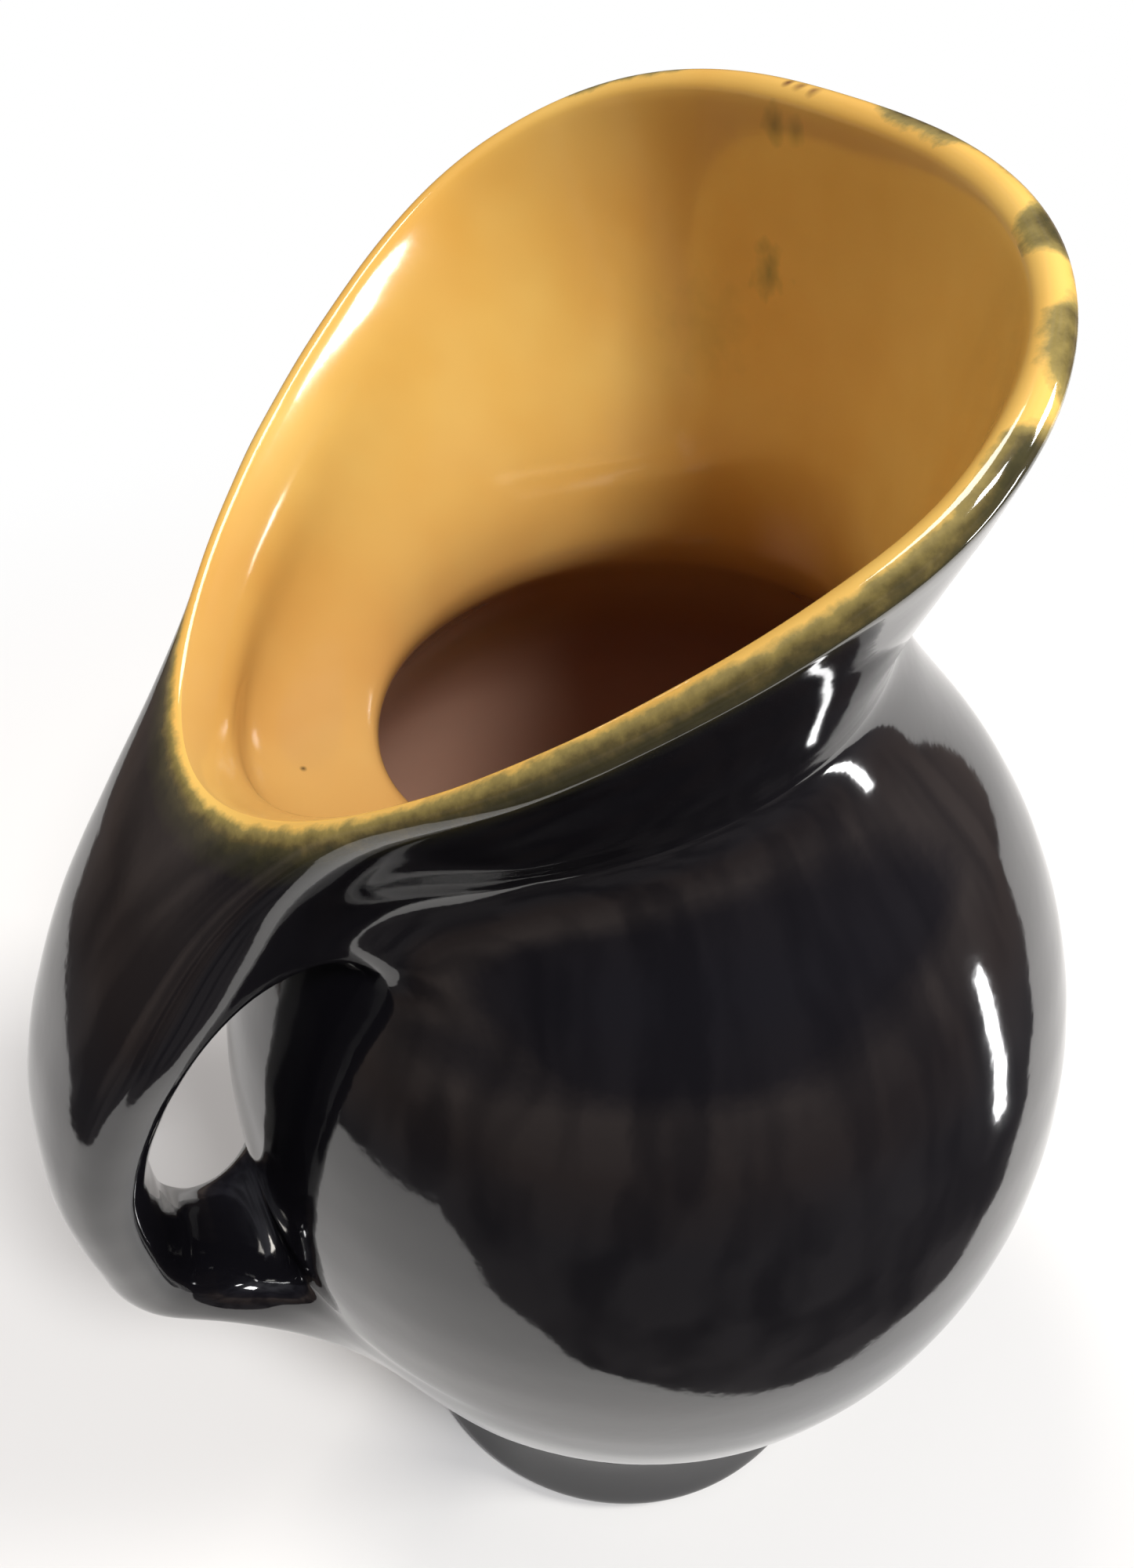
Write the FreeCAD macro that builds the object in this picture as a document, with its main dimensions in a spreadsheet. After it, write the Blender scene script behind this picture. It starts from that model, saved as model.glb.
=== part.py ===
import FreeCAD, Part
import os
from math import asin, cos, degrees, pi, radians, sin, sqrt

import Sketcher

# Oinochoe jug of glazed earthenware: an egg-shaped belly on a turned foot ring, a short neck
# that leans back, and a wide slanting mouth, rounded in front and narrowing behind into a strap
# handle that loops down to the belly.  Millimetres, Z up, the centre of the standing ring at the
# origin, the handle towards -X and the pouring side towards +X, mirrored about the XZ plane.

os.makedirs("parts", exist_ok=True)
doc = FreeCAD.newDocument("Jug")


# Driving sizes

SIZES = [
    ("belly_radius", 70.0, "half the greatest width of the belly"),
    ("belly_centre_height", 101.0, "height of the greatest width"),
    ("lower_arc_radius", 99.0, "roundness of the belly below its greatest width"),
    ("upper_arc_radius", 94.0, "roundness of the belly above its greatest width"),
    ("wall", 4.0, "thickness of the fired wall"),
    ("floor_thickness", 6.0, "thickness of the floor over the foot ring"),
    ("floor_corner_radius", 16.0, "rounding between floor and wall inside"),
    ("seam_height", 150.0, "height at which the neck is luted on the belly"),
    ("foot_height", 14.0, "height of the foot ring"),
    ("foot_waist_radius", 42.5, "narrowest place between foot and belly"),
    ("foot_hollow_radius", 42.0, "hollow curve from foot to belly"),
    ("foot_bore_radius", 36.0, "inside of the foot ring"),
    ("foot_edge_radius", 2.5, "rounding of the standing edge"),
    ("neck_radius", 38.0, "outside of the neck at its narrowest"),
    ("neck_height", 176.7, "height of the narrowest place on its centre"),
    ("neck_offset", 8.0, "how far the neck leans back towards the handle"),
    ("neck_tilt", 18.0, "slant of the narrowest place, in degrees"),
    ("neck_root", 12.0, "how deep the neck is set down into the shoulder"),
    ("mouth_height", 221.9, "height of the mouth where it is widest"),
    ("mouth_tilt", 37.5, "slant of the mouth, in degrees"),
    ("mouth_front", 33.8, "from the widest place to the crest of the lip in front"),
    ("mouth_tail", 74.3, "from the widest place to the crest of the lip behind"),
    ("mouth_half_width", 55.3, "from the middle to the crest of the lip at the sides"),
    ("lip_thickness", 5.4, "thickness of the lip, across the plane of the mouth"),
    ("lip_outer_round", 1.7, "rounding of the lip outside"),
    ("lip_inner_round", 2.4, "rounding of the lip inside"),
    ("glaze", 0.5, "thickness of the glaze lining"),
    ("handle_top_width", 48.0, "width of the handle where it leaves the mouth"),
    ("handle_width", 23.0, "width of the handle where it is narrowest, above its foot"),
    ("handle_thickness", 13.5, "greatest thickness of the handle"),
    ("handle_reach", 90.5, "from the axis to the middle line of the handle"),
    ("handle_foot_height", 67.0, "height at which the handle enters the belly"),
]

sheet = doc.addObject("Spreadsheet::Sheet", "Sizes")
for row, (alias, value, note) in enumerate(SIZES, start=1):
    sheet.set("A%d" % row, note)
    sheet.set("B%d" % row, str(value))
    sheet.setAlias("B%d" % row, alias)
doc.recompute()


def size(alias):
    return float(getattr(sheet, alias))


# Sketches

def plane_of(body, role):
    return next(item for item in body.Origin.OriginFeatures if item.Role == role)


def new_sketch(body, name):
    sketch = body.newObject("Sketcher::SketchObject", name)
    sketch.AttachmentSupport = [(plane_of(body, "XZ_Plane"), "")]
    sketch.MapMode = "FlatFace"
    return sketch


def line(sketch, start, end):
    first = FreeCAD.Vector(start[0], start[1], 0)
    last = FreeCAD.Vector(end[0], end[1], 0)
    return sketch.addGeometry(Part.LineSegment(first, last), False)


def arc(sketch, centre, radius, start, end):
    """An arc that turns anticlockwise from one angle, in radians, to the other."""
    circle = Part.Circle(FreeCAD.Vector(centre[0], centre[1], 0), FreeCAD.Vector(0, 0, 1), radius)
    return sketch.addGeometry(Part.ArcOfCircle(circle, start, end), False)


def bind(sketch, kind, where, value, expression):
    """A dimension that follows the sheet."""
    index = sketch.addConstraint(Sketcher.Constraint(kind, *where, value))
    sketch.setExpression("Constraints[%d]" % index, expression)


def join(sketch, first, first_end, second, second_end, smooth=False):
    kind = "Tangent" if smooth else "Coincident"
    sketch.addConstraint(Sketcher.Constraint(kind, first, first_end, second, second_end))


START, END, CENTRE = 1, 2, 3
AXIS_H, AXIS_V = -1, -2
ORIGIN = (-1, 1)


# Shape of the belly, shared by every piece that touches it

def upper_radius(height, inset):
    """Radius of the upper belly at a height, so far inside its outer face."""
    centre = size("belly_radius") - size("upper_arc_radius")
    rise = height - size("belly_centre_height")
    return centre + sqrt((size("upper_arc_radius") - inset) ** 2 - rise ** 2)


def lower_centre():
    return size("belly_radius") - size("lower_arc_radius"), size("belly_centre_height")


def upper_centre():
    return size("belly_radius") - size("upper_arc_radius"), size("belly_centre_height")


def hollow_centre():
    """Centre of the hollow curve that touches the lower belly and the narrowest place below."""
    x = size("foot_waist_radius") + size("foot_hollow_radius")
    across = x - lower_centre()[0]
    drop = sqrt((size("lower_arc_radius") + size("foot_hollow_radius")) ** 2 - across ** 2)
    return x, size("belly_centre_height") - drop


def hollow_angle():
    """Direction from the centre of the lower belly to the centre of the hollow curve."""
    across = hollow_centre()[0] - lower_centre()[0]
    return -asin((lower_centre()[1] - hollow_centre()[1]) / sqrt(
        across ** 2 + (lower_centre()[1] - hollow_centre()[1]) ** 2))


def cavity_sketch(body, name, inset, inset_text):
    """Half outline of the room inside the belly, its faces set in from the clay by inset."""
    sketch = new_sketch(body, name)
    shift = size("wall") + inset
    shift_text = "Sizes.wall + " + inset_text
    middle = size("belly_centre_height")
    floor = size("foot_height") + size("floor_thickness") + inset
    corner = size("floor_corner_radius")
    low_x, high_x = lower_centre()[0], upper_centre()[0]
    low_radius = size("lower_arc_radius") - shift
    high_radius = size("upper_arc_radius") - shift
    top = size("seam_height")
    corner_z = floor + corner
    corner_x = low_x + sqrt((low_radius - corner) ** 2 - (middle - corner_z) ** 2)
    turn = -asin((middle - corner_z) / (low_radius - corner))
    top_angle = asin((top - middle) / high_radius)
    top_x = upper_radius(top, shift)
    floor_line = line(sketch, (0, floor), (corner_x, floor))
    corner_arc = arc(sketch, (corner_x, corner_z), corner, -pi / 2, turn)
    low = arc(sketch, (low_x, middle), low_radius, turn, 0)
    high = arc(sketch, (high_x, middle), high_radius, 0, top_angle)
    top_line = line(sketch, (top_x, top), (0, top))
    axis_line = line(sketch, (0, top), (0, floor))
    join(sketch, floor_line, END, corner_arc, START, smooth=True)
    join(sketch, corner_arc, END, low, START, smooth=True)
    join(sketch, low, END, high, START)
    join(sketch, high, END, top_line, START)
    join(sketch, top_line, END, axis_line, START)
    join(sketch, axis_line, END, floor_line, START)
    sketch.addConstraint(Sketcher.Constraint("Horizontal", floor_line))
    sketch.addConstraint(Sketcher.Constraint("Horizontal", top_line))
    sketch.addConstraint(Sketcher.Constraint("PointOnObject", axis_line, START, AXIS_V))
    sketch.addConstraint(Sketcher.Constraint("PointOnObject", axis_line, END, AXIS_V))
    bind(sketch, "DistanceY", (*ORIGIN, floor_line, START), floor,
         "Sizes.foot_height + Sizes.floor_thickness + " + inset_text)
    bind(sketch, "Radius", (corner_arc,), corner, "Sizes.floor_corner_radius")
    bind(sketch, "Radius", (low,), low_radius, "Sizes.lower_arc_radius - (%s)" % shift_text)
    bind(sketch, "Radius", (high,), high_radius, "Sizes.upper_arc_radius - (%s)" % shift_text)
    bind(sketch, "DistanceY", (*ORIGIN, low, CENTRE), middle, "Sizes.belly_centre_height")
    bind(sketch, "DistanceY", (*ORIGIN, high, CENTRE), middle, "Sizes.belly_centre_height")
    bind(sketch, "DistanceY", (*ORIGIN, low, END), middle, "Sizes.belly_centre_height")
    bind(sketch, "DistanceX", (*ORIGIN, low, END), size("belly_radius") - shift,
         "Sizes.belly_radius - (%s)" % shift_text)
    bind(sketch, "DistanceY", (*ORIGIN, top_line, START), top, "Sizes.seam_height")
    return sketch


def turn_body(body, kind, name, sketch):
    """Turn a sketch once about the upright axis."""
    feature = body.newObject(kind, name)
    feature.Profile = sketch
    feature.ReferenceAxis = (sketch, ["V_Axis"])
    feature.Angle = 360.0
    return feature


# Foot ring: a turned ring of clay under the floor, rounded where it stands.

foot = doc.addObject("PartDesign::Body", "FootBody")
foot.Label = "foot_ring"
foot_sketch = new_sketch(foot, "FootOutline")
hollow_x, hollow_z = hollow_centre()
hollow = size("foot_hollow_radius")
foot_round = size("foot_edge_radius")
round_drop = hollow_z - foot_round
round_x = hollow_x - sqrt((hollow + foot_round) ** 2 - round_drop ** 2)
round_turn = asin(round_drop / (hollow + foot_round))
foot_top_x = hollow_x - sqrt(hollow ** 2 - (size("foot_height") - hollow_z) ** 2)
top_turn = pi - asin((size("foot_height") - hollow_z) / hollow)
bottom_line = line(foot_sketch, (size("foot_bore_radius"), 0), (round_x, 0))
edge_arc = arc(foot_sketch, (round_x, foot_round), foot_round, -pi / 2, round_turn)
side_arc = arc(foot_sketch, (hollow_x, hollow_z), hollow, top_turn, pi + round_turn)
seat_line = line(foot_sketch, (foot_top_x, size("foot_height")),
                 (size("foot_bore_radius"), size("foot_height")))
bore_line = line(foot_sketch, (size("foot_bore_radius"), size("foot_height")),
                 (size("foot_bore_radius"), 0))
join(foot_sketch, bottom_line, END, edge_arc, START, smooth=True)
join(foot_sketch, edge_arc, END, side_arc, END, smooth=True)
join(foot_sketch, side_arc, START, seat_line, START)
join(foot_sketch, seat_line, END, bore_line, START)
join(foot_sketch, bore_line, END, bottom_line, START)
foot_sketch.addConstraint(Sketcher.Constraint("PointOnObject", bottom_line, START, AXIS_H))
foot_sketch.addConstraint(Sketcher.Constraint("Horizontal", bottom_line))
foot_sketch.addConstraint(Sketcher.Constraint("Horizontal", seat_line))
foot_sketch.addConstraint(Sketcher.Constraint("Vertical", bore_line))
bind(foot_sketch, "DistanceX", (*ORIGIN, bottom_line, START), size("foot_bore_radius"),
     "Sizes.foot_bore_radius")
bind(foot_sketch, "DistanceY", (*ORIGIN, seat_line, START), size("foot_height"),
     "Sizes.foot_height")
bind(foot_sketch, "Radius", (edge_arc,), foot_round, "Sizes.foot_edge_radius")
bind(foot_sketch, "Radius", (side_arc,), hollow, "Sizes.foot_hollow_radius")
bind(foot_sketch, "DistanceX", (*ORIGIN, side_arc, CENTRE), hollow_x,
     "Sizes.foot_waist_radius + Sizes.foot_hollow_radius")
bind(foot_sketch, "DistanceY", (*ORIGIN, side_arc, CENTRE), hollow_z,
     "Sizes.belly_centre_height - sqrt((Sizes.lower_arc_radius + Sizes.foot_hollow_radius)^2"
     " - (Sizes.foot_waist_radius + Sizes.foot_hollow_radius - Sizes.belly_radius"
     " + Sizes.lower_arc_radius)^2)")
foot_turned = turn_body(foot, "PartDesign::Revolution", "FootTurned", foot_sketch)
foot.Tip = foot_turned
doc.recompute()


# Belly: the thrown bowl with its floor, closed below and open at the seam under the neck.

belly = doc.addObject("PartDesign::Body", "BellyBody")
belly.Label = "belly"
belly_sketch = new_sketch(belly, "BellyOutline")
belly_mid = size("belly_centre_height")
seam = size("seam_height")
seam_x = upper_radius(seam, 0)
touch = hollow_angle()
under_line = line(belly_sketch, (0, size("foot_height")), (foot_top_x, size("foot_height")))
waist_arc = arc(belly_sketch, (hollow_x, hollow_z), hollow, pi + touch, top_turn)
low_arc = arc(belly_sketch, lower_centre(), size("lower_arc_radius"), touch, 0)
high_arc = arc(belly_sketch, upper_centre(), size("upper_arc_radius"), 0,
               asin((seam - belly_mid) / size("upper_arc_radius")))
rim_line = line(belly_sketch, (seam_x, seam), (0, seam))
core_line = line(belly_sketch, (0, seam), (0, size("foot_height")))
join(belly_sketch, under_line, END, waist_arc, END)
join(belly_sketch, waist_arc, START, low_arc, START, smooth=True)
join(belly_sketch, low_arc, END, high_arc, START)
join(belly_sketch, high_arc, END, rim_line, START)
join(belly_sketch, rim_line, END, core_line, START)
join(belly_sketch, core_line, END, under_line, START)
belly_sketch.addConstraint(Sketcher.Constraint("Horizontal", under_line))
belly_sketch.addConstraint(Sketcher.Constraint("Horizontal", rim_line))
belly_sketch.addConstraint(Sketcher.Constraint("PointOnObject", core_line, START, AXIS_V))
belly_sketch.addConstraint(Sketcher.Constraint("PointOnObject", core_line, END, AXIS_V))
bind(belly_sketch, "DistanceY", (*ORIGIN, under_line, START), size("foot_height"),
     "Sizes.foot_height")
bind(belly_sketch, "Radius", (waist_arc,), hollow, "Sizes.foot_hollow_radius")
bind(belly_sketch, "DistanceX", (*ORIGIN, waist_arc, CENTRE), hollow_x,
     "Sizes.foot_waist_radius + Sizes.foot_hollow_radius")
bind(belly_sketch, "Radius", (low_arc,), size("lower_arc_radius"), "Sizes.lower_arc_radius")
bind(belly_sketch, "Radius", (high_arc,), size("upper_arc_radius"), "Sizes.upper_arc_radius")
bind(belly_sketch, "DistanceY", (*ORIGIN, low_arc, CENTRE), belly_mid,
     "Sizes.belly_centre_height")
bind(belly_sketch, "DistanceY", (*ORIGIN, high_arc, CENTRE), belly_mid,
     "Sizes.belly_centre_height")
bind(belly_sketch, "DistanceY", (*ORIGIN, low_arc, END), belly_mid, "Sizes.belly_centre_height")
bind(belly_sketch, "DistanceX", (*ORIGIN, low_arc, END), size("belly_radius"),
     "Sizes.belly_radius")
bind(belly_sketch, "DistanceY", (*ORIGIN, rim_line, START), seam, "Sizes.seam_height")
belly_turned = turn_body(belly, "PartDesign::Revolution", "BellyTurned", belly_sketch)
doc.recompute()
belly_hollow = cavity_sketch(belly, "BellyRoom", 0.0, "0")
belly_groove = turn_body(belly, "PartDesign::Groove", "BellyHollowed", belly_hollow)
belly.Tip = belly_groove
doc.recompute()


# Lining of the belly, joined below to the part that runs up through the neck.

lining = doc.addObject("PartDesign::Body", "BellyLiningBody")
lining.Label = "belly_lining"
lining_outer = cavity_sketch(lining, "LiningOuter", 0.0, "0")
lining_turned = turn_body(lining, "PartDesign::Revolution", "LiningTurned", lining_outer)
doc.recompute()
lining_inner = cavity_sketch(lining, "LiningInner", size("glaze"), "Sizes.glaze")
lining_groove = turn_body(lining, "PartDesign::Groove", "LiningHollowed", lining_inner)
lining.Tip = lining_groove
doc.recompute()


# Shoulder: the dome over the seam, out of which the neck grows

def shoulder_dome(name, inset, inset_text):
    """Solid dome from the seam up, its face set in by inset."""
    sketch = doc.addObject("Sketcher::SketchObject", name + "Outline")
    radius = size("upper_arc_radius") - inset
    centre = upper_centre()
    top = centre[1] + sqrt(radius ** 2 - centre[0] ** 2)
    seam_z = size("seam_height")
    start = asin((seam_z - centre[1]) / radius)
    base = line(sketch, (0, seam_z), (upper_radius(seam_z, inset), seam_z))
    side = arc(sketch, centre, radius, start, asin((top - centre[1]) / radius))
    core = line(sketch, (0, top), (0, seam_z))
    join(sketch, base, END, side, START)
    join(sketch, side, END, core, START)
    join(sketch, core, END, base, START)
    sketch.addConstraint(Sketcher.Constraint("Horizontal", base))
    sketch.addConstraint(Sketcher.Constraint("PointOnObject", core, START, AXIS_V))
    sketch.addConstraint(Sketcher.Constraint("PointOnObject", core, END, AXIS_V))
    bind(sketch, "DistanceY", (*ORIGIN, base, START), seam_z, "Sizes.seam_height")
    bind(sketch, "DistanceY", (*ORIGIN, side, CENTRE), centre[1], "Sizes.belly_centre_height")
    bind(sketch, "Radius", (side,), radius, "Sizes.upper_arc_radius - (%s)" % inset_text)
    bind(sketch, "DistanceX", (side, CENTRE, *ORIGIN), -centre[0],
         "Sizes.upper_arc_radius - Sizes.belly_radius")
    sketch.Placement = FreeCAD.Placement(FreeCAD.Vector(), UPRIGHT)
    dome = doc.addObject("Part::Revolution", name)
    dome.Source = sketch
    dome.Axis = FreeCAD.Vector(0, 0, 1)
    dome.Angle = 360.0
    dome.Solid = True
    return dome


# Cross-sections of neck, mouth and handle

POINTS = 16
UPRIGHT = FreeCAD.Rotation(FreeCAD.Vector(1, 0, 0), 90)


def power(value, exponent):
    return abs(value) ** exponent if value >= 0 else -abs(value) ** exponent


def oval(front, tail, half_width, powers, turn):
    """Point of an outline round its widest place; the powers say how full its ends are."""
    front_u, front_v, tail_u, tail_v = powers
    if cos(turn) >= 0:
        return front * power(cos(turn), 2 / front_u), half_width * power(sin(turn), 2 / front_v)
    return tail * power(cos(turn), 2 / tail_u), half_width * power(sin(turn), 2 / tail_v)


def closed_wire(points):
    """Smooth closed curve through the points."""
    curve = Part.BSplineCurve()
    curve.interpolate(Points=points, PeriodicFlag=True,
                      Parameters=[float(index) for index in range(len(points) + 1)])
    return Part.Wire([curve.toShape()])


def section(place, along, across, lengths, powers):
    """Closed section round a place, in the plane of two square directions."""
    points = []
    for index in range(POINTS):
        first, second = oval(*lengths, powers, 2 * pi * index / POINTS)
        points.append(place + along * first + across * second)
    return closed_wire(points)


def loft_object(name, wires):
    loft = doc.addObject("Part::Loft", name)
    parts = []
    for index, wire in enumerate(wires):
        item = doc.addObject("Part::Feature", "%sSection%d" % (name, index))
        item.Shape = wire
        parts.append(item)
    loft.Sections = parts
    loft.Solid = True
    loft.Ruled = False
    return loft


def fuse_object(name, shapes):
    fuse = doc.addObject("Part::MultiFuse", name)
    fuse.Shapes = shapes
    return fuse


def cut_object(name, base, tool):
    cut = doc.addObject("Part::Cut", name)
    cut.Base = base
    cut.Tool = tool
    return cut


def between(first, last, share):
    return first + (last - first) * share


SIDEWAYS = FreeCAD.Vector(0, 1, 0)


def slanted(tilt):
    return FreeCAD.Vector(cos(radians(tilt)), 0, sin(radians(tilt)))


# Neck and mouth: one flaring collar, round where it leaves the shoulder, and at the slanting
# mouth broad in front and drawn out behind.  Its edge is rolled into a lip.

ROUND_POWERS = (2.0, 2.0, 2.0, 2.0)
MOUTH_POWERS = (2.0, 2.75, 1.5, 1.9)
ROOT_TILT_SHARE = 0.7
FLARE_RISE_SHARES = (0.0, 0.235, 0.562, 1.0)
FLARE_TILT_SHARES = (0.0, 0.30, 0.65, 1.0)
FLARE_FRONT_SHARES = (0.0, 0.16, 0.58, 1.0)
FLARE_TAIL_SHARES = (0.0, 0.34, 0.69, 1.0)
FLARE_WIDTH_SHARES = (0.0, 0.18, 0.55, 1.0)
FLARE_SHAPE_SHARES = (0.0, 0.30, 0.70, 1.0)
FLARE_SWELL_SHARES = (0.0, 0.0, 0.2, 1.0)


def collar_wires(walls, coat):
    """Sections from the root of the neck to the mouth, so many walls and a coat further in."""
    middle = FreeCAD.Vector(-size("neck_offset"), 0, size("neck_height"))
    root = slanted(size("neck_tilt") + 90) * -size("neck_root")
    neck = size("neck_radius") - size("wall") * walls - coat
    wires = [section(middle + root, slanted(size("neck_tilt") * ROOT_TILT_SHARE), SIDEWAYS,
                     (neck, neck, neck), ROUND_POWERS)]
    for rise, slant, fore, aft, wide, shape, swell in zip(
            FLARE_RISE_SHARES, FLARE_TILT_SHARES, FLARE_FRONT_SHARES, FLARE_TAIL_SHARES,
            FLARE_WIDTH_SHARES, FLARE_SHAPE_SHARES, FLARE_SWELL_SHARES):
        wall = between(size("wall"), size("lip_thickness"), swell)
        neck = size("neck_radius") - wall * walls - coat
        edge = size("lip_thickness") / 2 - wall * walls - coat
        powers = [between(plain, full, shape) for plain, full in zip(ROUND_POWERS, MOUTH_POWERS)]
        lengths = (between(neck, size("mouth_front") + edge, fore),
                   between(neck, size("mouth_tail") + edge, aft),
                   between(neck, size("mouth_half_width") + edge, wide))
        middle.z = between(size("neck_height"), size("mouth_height"), rise)
        wires.append(section(middle, slanted(between(size("neck_tilt"), size("mouth_tilt"), slant)),
                             SIDEWAYS, lengths, powers))
    return wires


collar_outer = loft_object("CollarOuter", collar_wires(0, 0.0))
collar_inner = loft_object("CollarInner", collar_wires(1, 0.0))
collar_glazed = loft_object("CollarGlazed", collar_wires(1, size("glaze")))
dome_outer = shoulder_dome("DomeOuter", 0.0, "0")
dome_inner = shoulder_dome("DomeInner", size("wall"), "Sizes.wall")
dome_glazed = shoulder_dome("DomeGlazed", size("wall") + size("glaze"), "Sizes.wall + Sizes.glaze")
throat_outer = fuse_object("ThroatOuter", [dome_outer, collar_outer])
throat_inner = fuse_object("ThroatInner", [dome_inner, collar_inner])
throat_glazed = fuse_object("ThroatGlazed", [dome_glazed, collar_glazed])
collar_shell = cut_object("CollarShell", throat_outer, throat_inner)
doc.recompute()


def lip_edges(shape):
    """Numbers and roundings of the two edges round the mouth, which lie in its plane."""
    normal = slanted(size("mouth_tilt") + 90)
    middle = FreeCAD.Vector(-size("neck_offset"), 0, size("mouth_height"))
    rims = []
    for number, edge in enumerate(shape.Edges, start=1):
        places = edge.discretize(POINTS)
        if max(abs((place - middle).dot(normal)) for place in places) < size("glaze") / 2:
            rims.append((edge.Length, number))
    rims.sort()
    inner, outer = rims[0][1], rims[-1][1]
    return [(inner, size("lip_inner_round"), size("lip_inner_round")),
            (outer, size("lip_outer_round"), size("lip_outer_round"))]


collar = doc.addObject("Part::Fillet", "NeckAndMouth")
collar.Base = collar_shell
collar.Edges = lip_edges(collar_shell.Shape)
collar.Label = "neck_and_mouth"

# Lining: the coat of yellow glaze poured round inside, from the floor up to the lip.

lip_plane = doc.addObject("Part::Box", "AboveLining")
reach = size("mouth_tail") + size("mouth_front")
lip_plane.Length = reach * 2
lip_plane.Width = reach * 2
lip_plane.Height = reach
lip_plane.Placement = FreeCAD.Placement(
    FreeCAD.Vector(-size("neck_offset"), 0, size("mouth_height"))
    - slanted(size("mouth_tilt") + 90) * size("lip_inner_round")
    - slanted(size("mouth_tilt")) * reach - SIDEWAYS * reach,
    FreeCAD.Rotation(SIDEWAYS, -size("mouth_tilt")))
throat_skin = cut_object("ThroatSkin", throat_inner, throat_glazed)
throat_lining = cut_object("ThroatLining", throat_skin, lip_plane)
lining_all = fuse_object("LiningAll", [lining, throat_lining])
lining_all.Label = "lining"
doc.recompute()


# Handle: a pulled strap that runs on from the narrow end of the mouth, bends down and in,
# and spreads a little where it is pressed on the belly.

HANDLE_POWERS = (2.5, 2.5, 2.5, 2.5)
HANDLE_X_SHARES = (0.507, 0.726, 0.834, 0.935, 0.998, 0.996, 0.966, 0.890, 0.782, 0.652, 0.58)
HANDLE_Z_SHARES = (0.920, 0.904, 0.808, 0.660, 0.495, 0.332, 0.210, 0.139, 0.081, 0.002, -0.045)
HANDLE_WIDTH_SHARES = (1.0, 0.98, 0.82, 0.56, 0.38, 0.17, 0.0, 0.0, 0.16, 0.31, 0.36)
HANDLE_THICK_SHARES = (0.90, 1.0, 1.0, 1.0, 0.98, 0.90, 0.86, 0.87, 0.93, 1.0, 1.02)


def handle_wires():
    """Sections square to the strap's middle line, from inside the mouth to inside the belly."""
    tail_z = size("mouth_height") - slanted(size("mouth_tilt")).z * size("mouth_tail")
    middle = []
    for x_share, z_share in zip(HANDLE_X_SHARES, HANDLE_Z_SHARES):
        middle.append(FreeCAD.Vector(-size("handle_reach") * x_share, 0,
                                     between(size("handle_foot_height"), tail_z, z_share)))
    wires = []
    for index, place in enumerate(middle):
        step = middle[min(index + 1, len(middle) - 1)] - middle[max(index - 1, 0)]
        out = FreeCAD.Vector(-step.z, 0, step.x).normalize()
        half_width = between(size("handle_width"), size("handle_top_width"),
                             HANDLE_WIDTH_SHARES[index]) / 2
        half = size("handle_thickness") * HANDLE_THICK_SHARES[index] / 2
        wires.append(section(place, out, SIDEWAYS, (half, half, half_width), HANDLE_POWERS))
    return wires


handle_loft = loft_object("HandleStrap", handle_wires())
handle_off_belly = cut_object("HandleOffBelly", handle_loft, belly_turned)
handle = cut_object("Handle", handle_off_belly, throat_outer)
handle.Label = "handle"
doc.recompute()


# Checks and export

PIECES = [foot, belly, collar, lining_all, handle]

for item in doc.Objects:
    state = " ".join(item.State)
    if "Invalid" in state or "Error" in state:
        raise RuntimeError("%s failed: %s" % (item.Name, state))
for piece in PIECES:
    if piece.Shape.isNull() or not piece.Shape.isValid() or not piece.Shape.Solids:
        raise RuntimeError("%s has no sound solid" % piece.Label)
for piece in PIECES:
    piece.Shape.exportStep("parts/%s.step" % piece.Label)
    print("%-16s %d solid(s) %10.1f mm3  z %6.1f to %6.1f" % (
        piece.Label, len(piece.Shape.Solids), piece.Shape.Volume,
        piece.Shape.BoundBox.ZMin, piece.Shape.BoundBox.ZMax))
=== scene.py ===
import bpy
import numpy as np
from mathutils import Matrix, Vector


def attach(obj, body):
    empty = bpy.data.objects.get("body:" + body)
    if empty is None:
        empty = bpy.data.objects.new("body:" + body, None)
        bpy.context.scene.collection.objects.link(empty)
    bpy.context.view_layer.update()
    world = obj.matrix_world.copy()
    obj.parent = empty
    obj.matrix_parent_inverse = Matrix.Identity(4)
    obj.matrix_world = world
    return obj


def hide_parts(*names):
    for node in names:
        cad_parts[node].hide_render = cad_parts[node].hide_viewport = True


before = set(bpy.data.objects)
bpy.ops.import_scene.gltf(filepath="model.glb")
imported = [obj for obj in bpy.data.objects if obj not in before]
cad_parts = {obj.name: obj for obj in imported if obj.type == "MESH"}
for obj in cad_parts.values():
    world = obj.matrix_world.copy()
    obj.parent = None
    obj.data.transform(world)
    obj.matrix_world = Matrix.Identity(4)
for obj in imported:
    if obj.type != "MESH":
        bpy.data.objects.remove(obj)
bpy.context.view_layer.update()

# Foot ring: a ring of clay turned under the belly while it was leather hard, with a rounded
# standing edge and a straight bore, covered in black glaze.  It is turned about the upright axis,
# in rows of the one skin of glaze that runs over the whole jug.

# lengths are in millimetres up to the skin's own mesh
AROUND = 96                                   # columns of the skin, the first towards the front
TURN = 2 * np.pi * np.arange(AROUND) / AROUND
BEHIND = AROUND // 2                          # the column where the handle stands
INNERMOST = 2.0                               # radius of the row that a fan closes
FLOOR_UNDER = 14.0                            # height of the floor's underside
BORE = 36.0
ARRIS = 0.6                                   # how close the rows lie to an inner edge
HOLLOW = (84.5, 17.34, 42.0)                  # centre and radius of the curve above the foot
HOLLOW_FOOT, HOLLOW_JOINT, HOLLOW_TOP = 199.5, 184.6, 143.6
EDGE_ROUND = 2.5
EDGE_CENTRE = 42.55

rows, labels = [], []


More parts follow.
